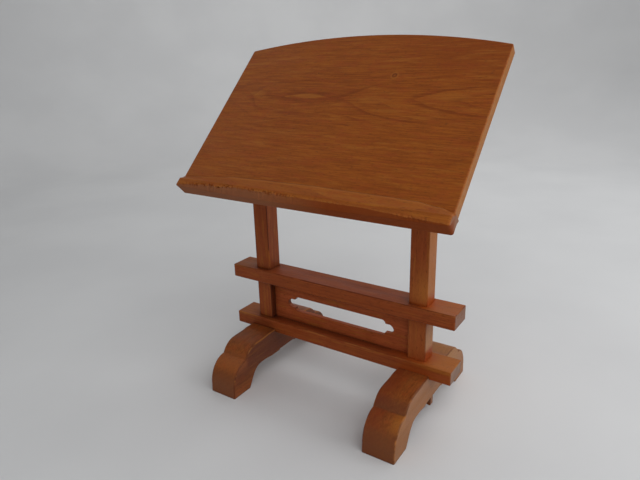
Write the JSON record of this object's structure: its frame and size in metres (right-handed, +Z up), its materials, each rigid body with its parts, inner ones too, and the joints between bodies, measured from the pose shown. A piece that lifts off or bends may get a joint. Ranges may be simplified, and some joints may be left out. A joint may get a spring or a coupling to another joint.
{
  "type": "reading stand",
  "caption": "Table-top wooden reading stand: sloping board with a lipped ledge, on two posts with rails, a pierced panel and arched feet.",
  "frame": {"origin": "on the floor, midway between the four toes", "axes": "+X to the reader's right, +Y away from the reader, +Z up"},
  "size_m": [0.372, 0.229, 0.4652],
  "materials": {
    "board_wood": "semi-gloss stained wood, grain across the board",
    "ledge_wood": "semi-gloss stained wood, worn and chipped along the front",
    "batten_wood": "semi-gloss stained wood",
    "post_wood": "semi-gloss stained wood, upright grain",
    "rail_wood": "semi-gloss stained wood, worn edges",
    "panel_wood": "semi-gloss stained wood",
    "foot_wood": "semi-gloss stained wood, grain along the foot",
    "wedge_wood": "dark hardwood",
    "dowel_wood": "plain hardwood",
    "screw_steel": "plated steel"
  },
  "bodies": {
    "frame": {"post_left": "post_wood", "post_right": "post_wood", "upper_rail": "rail_wood", "lower_rail": "rail_wood", "pierced_panel": "panel_wood", "foot_left": "foot_wood", "foot_right": "foot_wood", "rail_pegs": "dowel_wood"},
    "desk": {"desk_board": "board_wood", "book_ledge": "ledge_wood", "ledge_dowels": "dowel_wood", "desk_batten_left": "batten_wood", "desk_batten_right": "batten_wood", "batten_screws": "screw_steel"},
    "left_wedge": {"tenon_wedge_left": "wedge_wood"},
    "right_wedge": {"tenon_wedge_right": "wedge_wood"}
  },
  "joints": [
    {"name": "desk_lift", "type": "slide", "parent": "frame", "child": "desk", "axis": [0, 0, 1], "range_m": [0, 0.05]},
    {"name": "left_wedge_draw", "type": "slide", "parent": "frame", "child": "left_wedge", "axis": [-1, 0, 0], "range_m": [0, 0.03]},
    {"name": "right_wedge_draw", "type": "slide", "parent": "frame", "child": "right_wedge", "axis": [1, 0, 0], "range_m": [0, 0.03]}
  ]
}
